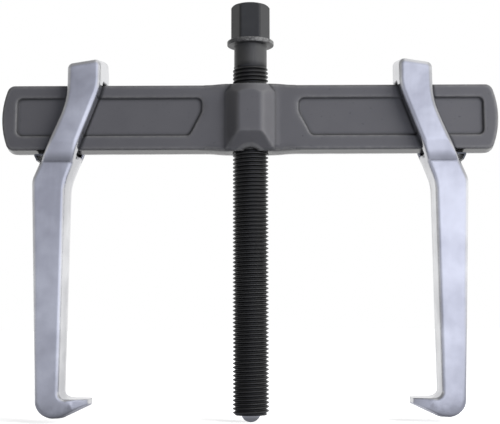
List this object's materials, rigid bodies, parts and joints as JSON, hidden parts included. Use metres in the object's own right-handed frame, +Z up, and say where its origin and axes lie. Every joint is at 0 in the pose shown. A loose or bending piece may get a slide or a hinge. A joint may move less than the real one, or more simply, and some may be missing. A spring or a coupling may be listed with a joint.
{
  "type": "gear puller",
  "caption": "Two-jaw gear puller: sliding hooked arms on a dark forged crossbeam, with a hex-headed forcing screw and ball tip.",
  "frame": {"origin": "pole of the steel ball at the tip of the forcing screw, on the screw's axis, at the lowest point of the tool", "axes": "+Z up along the forcing screw towards its hexagon, +X along the crossbeam to the right arm, -Y towards the front"},
  "size_m": [0.2524, 0.03, 0.2113],
  "materials": {
    "forged_beam": "dark grey phosphate, matte",
    "screw_steel": "black oxide, oiled satin",
    "ball_steel": "polished bearing steel",
    "arm_steel": "satin chrome plate over a forged surface",
    "spring_steel": "blued spring steel"
  },
  "bodies": {
    "beam": {"crossbeam": "forged_beam"},
    "tip": {"tip_ball": "ball_steel"},
    "screw": {"forcing_screw": "screw_steel"},
    "left_arm": {"left_arm": "arm_steel", "left_spring": "spring_steel"},
    "right_arm": {"right_arm": "arm_steel", "right_spring": "spring_steel"}
  },
  "joints": [
    {"name": "screw_feed", "type": "slide", "parent": "beam", "child": "tip", "axis": [0, 0, 1], "range_m": [-0.009, 0.125]},
    {"name": "screw_turn", "type": "hinge", "parent": "tip", "child": "screw", "pos_m": [0, 0, 0.1], "axis": [0, 0, 1], "range_deg": [-1620, 22500]},
    {"name": "left_arm_slide", "type": "slide", "parent": "beam", "child": "left_arm", "axis": [-1, 0, 0], "range_m": [-0.054, 0.024]},
    {"name": "right_arm_slide", "type": "slide", "parent": "beam", "child": "right_arm", "axis": [1, 0, 0], "range_m": [-0.054, 0.024]}
  ],
  "couplings": [
    {"joint": "screw_turn", "follows": "screw_feed", "rad_per_m": 3141.6}
  ]
}
